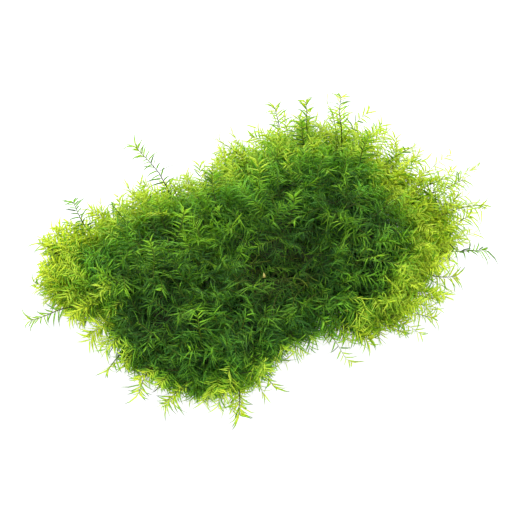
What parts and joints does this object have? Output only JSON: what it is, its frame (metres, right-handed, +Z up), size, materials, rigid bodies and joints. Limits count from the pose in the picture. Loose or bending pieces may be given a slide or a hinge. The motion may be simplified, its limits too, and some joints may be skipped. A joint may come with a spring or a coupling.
{
  "type": "aquarium moss mat",
  "caption": "Flat-bottomed springy cushion of tangled feather-like moss shoots, with loose fronds standing clear of its rim and crown, laid on a surface",
  "frame": {"origin": "on the surface the mat lies on, under the middle of the whole mat", "axes": "+X along the longer way of the mat, +Y across it, +Z up through the crown"},
  "size_m": [0.1215, 0.0914, 0.0313],
  "materials": {
    "old_growth": "dense, wet, shaded moss leaves, deep green",
    "new_growth": "thin new moss leaves, lit through, yellow-green",
    "crown_growth": "fresh moss leaves on the crown, mid green"
  },
  "bodies": {
    "root": {"moss_mat": "old_growth", "rim_frond_01": "new_growth", "rim_frond_02": "new_growth", "rim_frond_03": "new_growth", "rim_frond_04": "new_growth", "rim_frond_05": "new_growth", "rim_frond_06": "new_growth", "rim_frond_07": "new_growth", "rim_frond_08": "new_growth", "rim_frond_09": "new_growth", "rim_frond_10": "new_growth", "rim_frond_11": "new_growth", "rim_frond_12": "new_growth", "rim_frond_13": "new_growth", "rim_frond_14": "new_growth", "rim_frond_15": "new_growth", "rim_frond_16": "new_growth", "rim_frond_17": "new_growth", "rim_frond_18": "new_growth", "rim_frond_19": "new_growth", "rim_frond_20": "new_growth", "rim_frond_21": "new_growth", "rim_frond_22": "new_growth", "rim_frond_23": "new_growth", "rim_frond_24": "new_growth", "crown_frond_01": "crown_growth", "crown_frond_02": "crown_growth", "crown_frond_03": "crown_growth", "crown_frond_04": "crown_growth", "crown_frond_05": "crown_growth", "crown_frond_06": "crown_growth", "crown_frond_07": "crown_growth", "crown_frond_08": "crown_growth", "crown_frond_09": "crown_growth", "crown_frond_10": "crown_growth", "crown_frond_11": "crown_growth", "crown_frond_12": "crown_growth"}
  },
  "joints": []
}
